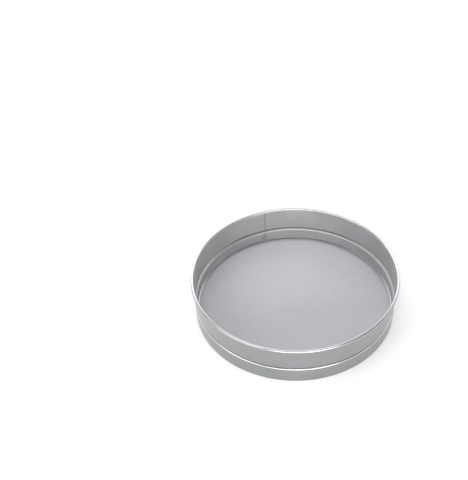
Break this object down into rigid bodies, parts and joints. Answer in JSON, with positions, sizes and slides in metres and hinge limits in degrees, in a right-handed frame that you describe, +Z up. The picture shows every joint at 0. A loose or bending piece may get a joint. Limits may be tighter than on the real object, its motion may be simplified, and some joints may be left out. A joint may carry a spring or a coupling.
{
  "type": "drum sieve",
  "caption": "Round steel drum sieve: a tall hoop with a wired rim and a stepped-in neck, a lower hoop clamped over the neck, and a flat disc of wire cloth between them.",
  "frame": {"origin": "on the axis of the sieve, at the level of the surface that it stands on", "axes": "+Z up along the axis, +Y to the back, +X to the right as the picture sees it"},
  "size_m": [0.3078, 0.3078, 0.066],
  "materials": {
    "body_steel": "satin stainless sheet",
    "wire_steel": "drawn stainless wire",
    "clamp_steel": "satin stainless sheet",
    "cloth_steel": "woven stainless wire"
  },
  "bodies": {
    "root": {"body_hoop": "body_steel", "rim_wire": "wire_steel", "clamp_hoop": "clamp_steel", "mesh_cloth": "cloth_steel"}
  },
  "joints": []
}
